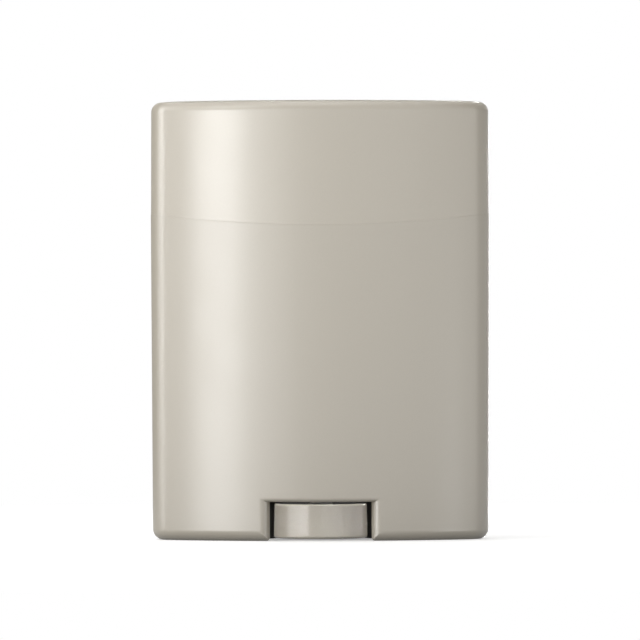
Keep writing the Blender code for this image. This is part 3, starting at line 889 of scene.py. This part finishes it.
# %% Balm bar
BAR_SHOULDER = 1.8 * MM
BAR_SHOULDER_SWEEP = 70
BAR_RECESS = 3.1 * MM
BAR_CROWN = 1.2 * MM
CHANNEL_GAP = 0.4 * MM
BAR_SHOULDER_STEPS = 14
BAR_CROWN_STEPS = 20
CHANNEL_STEPS = 64
bar_foot = BAR_INSET + CUP_WALL + FIT
bar_top = neck_top - BAR_RECESS
shoulder_arc = arc(
    BAR_INSET + BAR_SHOULDER, bar_top - BAR_CROWN - BAR_SHOULDER, BAR_SHOULDER,
    0, BAR_SHOULDER_SWEEP, BAR_SHOULDER_STEPS,
)
crown_inset, crown_base = shoulder_arc[-1]
bar_rows = rings([
    (bar_foot, plate_top + FIT),
    (bar_foot, cup_top + FIT),
    (BAR_INSET, cup_top + FIT),
])
bar_rows += rings(shoulder_arc)
for step in range(1, BAR_CROWN_STEPS):
    share = 1 - step / BAR_CROWN_STEPS
    height = crown_base + (bar_top - crown_base) * (1 - share ** 2)
    bar_rows.append(ring(crown_inset, height, share=share))
bar = loft("sun_balm", bar_rows)
channel_wide = nut_radius + FIT
channel_narrow = THREAD_RADIUS + THREAD_LEAN + CHANNEL_GAP
channel_end = screw_high[2] + CHANNEL_GAP
carve(bar, turned("screw_channel", [
    (0, channel_end + channel_narrow / 2),
    (channel_narrow, channel_end),
    (channel_narrow, nut_top + FIT),
    (channel_wide, nut_top + FIT),
    (channel_wide, plate_top - OVERRUN),
    (0, plate_top - OVERRUN),
], CHANNEL_STEPS))
dress(bar, balm_wax, "carrier", "balm_bar")

# %% [markdown]
# ## The knob
# The knob is a smooth glossy drum, a hair wider at its foot, with a tight rim that draws one bright line
# along its top. Its top face gets the same painted shade as the inside of the notch above it, so the slot
# between the two stays dark. Underneath it is cored out round a hub, which takes the screw's square end.

# %% Knob
KNOB_DRAFT = 0.1 * MM
KNOB_EDGE = 0.4 * MM
KNOB_TOP_EDGE = 0.3 * MM
KNOB_WALL = 1.3 * MM
KNOB_WEB = 1.4 * MM
KNOB_HUB_RADIUS = 3.6 * MM
KNOB_HUB_RECESS = 0.4 * MM
CORE_EDGE = 0.2 * MM
DRIVE_GAP = 0.15 * MM
KNOB_STEPS = 160
KNOB_EDGE_STEPS = 10
knob_base, knob_top = knob_low[2], knob_high[2]


def knob_profile():
    """(radius, height) pairs from the middle of the top, down the drum, to the hub."""
    top_radius = KNOB_RADIUS - KNOB_DRAFT
    core = KNOB_RADIUS - KNOB_WALL
    web = knob_top - KNOB_WEB
    hub_base = knob_base + KNOB_HUB_RECESS
    pairs = [(0, knob_top), (KNOB_HUB_RADIUS, knob_top)]
    for step in range(KNOB_EDGE_STEPS + 1):
        angle = QUARTER * (1 - step / KNOB_EDGE_STEPS)
        pairs.append((
            top_radius - KNOB_TOP_EDGE * (1 - math.cos(angle)),
            knob_top - KNOB_TOP_EDGE * (1 - math.sin(angle)),
        ))
    for step in range(KNOB_EDGE_STEPS + 1):
        angle = QUARTER * step / KNOB_EDGE_STEPS
        pairs.append((
            KNOB_RADIUS - KNOB_EDGE * (1 - math.cos(angle)),
            knob_base + KNOB_EDGE * (1 - math.sin(angle)),
        ))
    pairs += [
        (core + CORE_EDGE, knob_base),
        (core, knob_base + CORE_EDGE),
        (core, web - CORE_EDGE),
        (core - CORE_EDGE, web),
        (KNOB_HUB_RADIUS + CORE_EDGE, web),
        (KNOB_HUB_RADIUS, web - CORE_EDGE),
        (KNOB_HUB_RADIUS, hub_base + CORE_EDGE),
        (KNOB_HUB_RADIUS - CORE_EDGE, hub_base),
        (0, hub_base),
    ]
    return pairs


knob = turned("turning_knob", knob_profile(), KNOB_STEPS)
socket_side = DRIVE_SIDE + 2 * DRIVE_GAP
carve(knob, block("socket", socket_side, socket_side, screw_low[2] - DRIVE_GAP, knob_top + OVERRUN))
# Paints shade on the knob's top face, so the slot under the notch roof stays dark.
paint_shade_on_top(knob_gloss, knob_top)
dress(knob, knob_gloss, "dial", "knob")

# %% [markdown]
# ## Camera
# The picture was taken from far off with a long lens, level with the middle of the stick:
# the top and bottom rims curve away from each other by the same small amount. So the
# camera stands about 1.1 m away and looks neither up nor down. It is rolled by a seventh of
# a degree, because the stick leans by about that in the picture.

# %% Camera
PICTURE = 640
SENSOR = 36.0
LENS = 402.0
PIXELS_PER_METRE = 6504
HORIZON_PIXEL = 320
BASE_PIXEL = 539
CENTRE_PIXEL = 320.2
CAMERA_ROLL = -0.14 * DEG
camera_data = bpy.data.cameras.new("camera")
camera_data.lens = LENS
camera_data.sensor_width = SENSOR
camera = add_object("camera", camera_data)
distance = LENS / SENSOR * PICTURE / PIXELS_PER_METRE
camera.location = (
    (PICTURE / 2 - CENTRE_PIXEL) / PIXELS_PER_METRE,
    -distance,
    (BASE_PIXEL - HORIZON_PIXEL) / PIXELS_PER_METRE,
)
camera.rotation_euler = (QUARTER, 0, 0)
camera.rotation_euler.rotate_axis("Z", CAMERA_ROLL)
scene.camera = camera
print("camera distance", round(distance, 4), "height", round(camera.location.z, 5))

# %% [markdown]
# ## White studio
# The background is plain white. The world shows white to the camera and in reflections,
# and lights matt surfaces at a plain level. The floor is white paper: close to the stick it
# is a lit surface that takes the shadow, and further out it fades into the white. What it
# throws back on the stick is set apart: next to the stick it's almost nothing, so that the
# stick gets a little darker towards its foot. There, reflections see a mix of the lit paper
# and of that dark bounce.

# %% World
AMBIENT = 0.565


def seen_directly(nodes, links):
    """1 for rays from the camera, from gloss and through clear stuff, and 0 for the rest."""
    path = nodes.new("ShaderNodeLightPath")
    seen = path.outputs["Is Camera Ray"]
    for name in ("Is Glossy Ray", "Is Transmission Ray"):
        seen = add_maths(nodes, links, "MAXIMUM", seen, path.outputs[name])
    return seen


world = bpy.data.worlds.new("white studio")
world.use_nodes = True
scene.world = world
world_nodes, world_links = world.node_tree.nodes, world.node_tree.links
backdrop = world_nodes["Background"]
backdrop.inputs["Color"].default_value = (1, 1, 1, 1)
direct = seen_directly(world_nodes, world_links)
level = add_span(world_nodes, world_links, direct, 0, 1, AMBIENT, 1)
world_links.new(level, backdrop.inputs["Strength"])

# %% Floor
FLOOR_SIZE = 3.0
FLOOR_GAP = 0.01 * MM
FLOOR_PAPER = 0.9
PAPER_LIFT = 0.32
NEAR_SHINE = 0.65
NEAR_BOUNCE = 0.02
FAR_BOUNCE = 0.6
BOUNCE_START = 0.03
BOUNCE_REACH = 0.12
PAPER_REACH = 0.06
WHITE_REACH = 0.22


def add_blend(nodes, links, factor, first, second):
    """The first shader where the factor is 0, and the second where it is 1."""
    blend = nodes.new("ShaderNodeMixShader")
    for socket, value in zip(blend.inputs, (factor, first, second)):
        links.new(value, socket)
    return blend.outputs["Shader"]


def floor_paper():
    """Lit paper that fades into plain white. Its bounce is what matt surfaces see of it."""
    material = bpy.data.materials.new("floor paper")
    material.use_nodes = True
    nodes, links = material.node_tree.nodes, material.node_tree.links
    nodes.remove(nodes["Principled BSDF"])
    reach = nodes.new("ShaderNodeVectorMath")
    reach.operation = "LENGTH"
    links.new(nodes.new("ShaderNodeTexCoord").outputs["Object"], reach.inputs[0])
    away = reach.outputs["Value"]
    paper = nodes.new("ShaderNodeBsdfDiffuse")
    paper.inputs["Color"].default_value = (FLOOR_PAPER, FLOOR_PAPER, FLOOR_PAPER, 1)
    lift = nodes.new("ShaderNodeEmission")
    lift.inputs["Strength"].default_value = PAPER_LIFT
    lit_paper = nodes.new("ShaderNodeAddShader")
    links.new(paper.outputs["BSDF"], lit_paper.inputs[0])
    links.new(lift.outputs["Emission"], lit_paper.inputs[1])
    white = nodes.new("ShaderNodeEmission")
    bounce = nodes.new("ShaderNodeBsdfDiffuse")
    grey = add_span(nodes, links, away, BOUNCE_START, BOUNCE_REACH, NEAR_BOUNCE, FAR_BOUNCE)
    links.new(grey, bounce.inputs["Color"])
    from_camera = nodes.new("ShaderNodeLightPath").outputs["Is Camera Ray"]
    shine = add_span(nodes, links, from_camera, 0, 1, NEAR_SHINE, 1)
    near = add_blend(nodes, links, shine, bounce.outputs["BSDF"], lit_paper.outputs["Shader"])
    fade = add_span(nodes, links, away, PAPER_REACH, WHITE_REACH, 0, 1)
    fade.node.interpolation_type = "SMOOTHSTEP"
    looks = add_blend(nodes, links, fade, near, white.outputs["Emission"])
    direct = seen_directly(nodes, links)
    surface = add_blend(nodes, links, direct, bounce.outputs["BSDF"], looks)
    links.new(surface, nodes["Material Output"].inputs["Surface"])
    return material


half_floor = FLOOR_SIZE / 2
floor = add_sheet("floor", [(x * half_floor, y * half_floor, 0) for x, y in SQUARE])
floor.location.z = -FLOOR_GAP
floor.data.materials.append(floor_paper())

# %% [markdown]
# ## Light
# A softbox stands to the left of the camera and two strips stand beside the stick, which
# together draw the two bright bands on the left of the case. A paler box beside the first
# lets its band fade out slowly towards the middle, and two boxes higher up carry it over
# the rounded top edge. A wide box in front lights the face, a small strip low on the right
# gives the faint band there, and a bounce box shines up from the floor in front, on the
# rounded base and on the roof of the notch. Three more stand behind, for the back and for
# what the top edge mirrors from there. Each is set by its direction, its size and how
# bright it looks, so that a reflection can be placed by eye.
#
# Softboxes that reach below the table are as good as mirrored in it, so the floor doesn't
# shade them. In the picture the knob is as bright as the case, although it stands back in
# its notch. So all these lamps skip it, and some of its own light it as if nothing stood
# around it: a ring of them, and one overhead for the bright line on its rim. Blender calls
# this light linking.

# %% Softboxes
TARGET = Vector((0, 0, HEIGHT / 2))
LAMP_REACH = 0.9
# In each: degrees to the left of the camera, degrees up, width and height in metres, and glow.
SOFTBOXES = {
    "key softbox": (44, 3.4, 0.36, 0.3, 4.2),
    "upper softbox": (45, 42, 0.26, 0.4, 2.2),
    "top box": (40, 80, 0.6, 0.6, 0.6),
    "pale softbox": (23, 5, 0.28, 0.5, 1.05),
    "front box": (-16, -4, 1.1, 0.6, 0.3),
    "bounce box": (0, -42, 1.0, 0.3, 0.4),
    "right strip": (-58, -12, 0.12, 0.3, 2.2),
    "rear softbox": (-166, 6, 0.3, 0.5, 2.4),
    "rear fill": (180, 34, 1.0, 0.4, 0.9),
    "back box": (180, 62, 0.9, 0.4, 0.3),
}
SIDE_STRIPS = {
    "side strip": (83, 14, 0.24, 0.9, 3.3),
    "back strip": (101, 14, 0.2, 0.9, 1.5),
}
KNOB_BOXES = {
    "knob box": (61, 6, 1.05, 0.9, 2.15),
    "knob top box": (0, 84, 0.9, 0.5, 8.0),
    "knob back box": (110, 6, 0.3, 0.9, 0.5),
    "knob front box": (-40, 6, 1.5, 0.9, 0.4),
    "knob right box": (-72, 6, 0.6, 0.9, 0.9),
    "knob far box": (-112, 6, 0.5, 0.9, 0.9),
    "knob rear box": (180, 6, 1.1, 0.9, 0.8),
}


def toward(azimuth, elevation):
    """Unit direction from the stick: azimuth is left of the camera, elevation is up."""
    side, rise = azimuth * DEG, elevation * DEG
    return Vector((-math.sin(side) * math.cos(rise), -math.cos(side) * math.cos(rise), math.sin(rise)))


def softbox(name, azimuth, elevation, width, height, glow):
    """Area lamp that faces the stick, as bright as glow times white paper."""
    data = bpy.data.lights.new(name, "AREA")
    data.shape = "RECTANGLE"
    data.size = width
    data.size_y = height
    data.energy = glow * math.pi * width * height
    lamp = add_object(name, data)
    lamp.location = TARGET + toward(azimuth, elevation) * LAMP_REACH
    lamp.rotation_euler = (TARGET - lamp.location).to_track_quat("-Z", "Y").to_euler()
    return lamp


def link_light(lamp, purpose, obj, state):
    """Includes or excludes an object from what the lamp lights, or from what shades it."""
    group = bpy.data.collections.new(lamp.name + " " + purpose)
    group.objects.link(obj)
    group.collection_objects[0].light_linking.link_state = state
    setattr(lamp.light_linking, purpose, group)


def set_up(boxes, state, blocker=None):
    """Lamps that light the knob alone, or all else. A blocker alone shades them, or all else."""
    for name, box in boxes.items():
        lamp = softbox(name, *box)
        lamp.data.cycles.use_multiple_importance_sampling = False
        link_light(lamp, "receiver_collection", knob, state)
        if blocker:
            link_light(lamp, "blocker_collection", blocker, state)


set_up(SOFTBOXES, "EXCLUDE", floor)
set_up(SIDE_STRIPS, "EXCLUDE")
set_up(KNOB_BOXES, "INCLUDE", knob)

# %% [markdown]
# ## Grey cards
# Against white the far rims of the stick would mirror the white behind it and melt into it.
# A grey card stands behind each side, and two smaller ones stand higher up for the rim of
# the top. Only reflections see them, and they keep the rims dark.

# %% Cards behind the rims
# Degrees to the left of the camera, degrees up, width and height in metres, and grey.
CARDS = {
    "left card": (138, 0, 0.26, 0.4, 0.27),
    "right card": (-121, 0, 0.26, 0.4, 0.55),
    "top card": (-171, 34, 0.12, 0.16, 0.2),
    "right top card": (-121, 25, 0.26, 0.24, 0.25),
}
CARD_REACH = 0.16


def grey_card(name, azimuth, elevation, width, height, grey):
    """Card that faces the stick and that only reflections see."""
    place = TARGET + toward(azimuth, elevation) * CARD_REACH
    turn = (TARGET - place).to_track_quat("Z", "Y").to_matrix()
    card = add_sheet(name, [
        place + turn @ Vector((x * width / 2, y * height / 2, 0)) for x, y in SQUARE
    ])
    material = bpy.data.materials.new(name)
    material.use_nodes = True
    sockets = material.node_tree.nodes["Principled BSDF"].inputs
    sockets["Base Color"].default_value = (0, 0, 0, 1)
    sockets["Specular IOR Level"].default_value = 0
    sockets["Emission Color"].default_value = (1, 1, 1, 1)
    sockets["Emission Strength"].default_value = grey
    card.data.materials.append(material)
    card.visible_camera = False
    card.visible_diffuse = False
    card.visible_transmission = False
    card.visible_shadow = False


for name, values in CARDS.items():
    grey_card(name, *values)

# %% [markdown]
# ## Last settings
# The standard view keeps a colour as it is written.

# %% Finish
scene.view_settings.view_transform = "Standard"
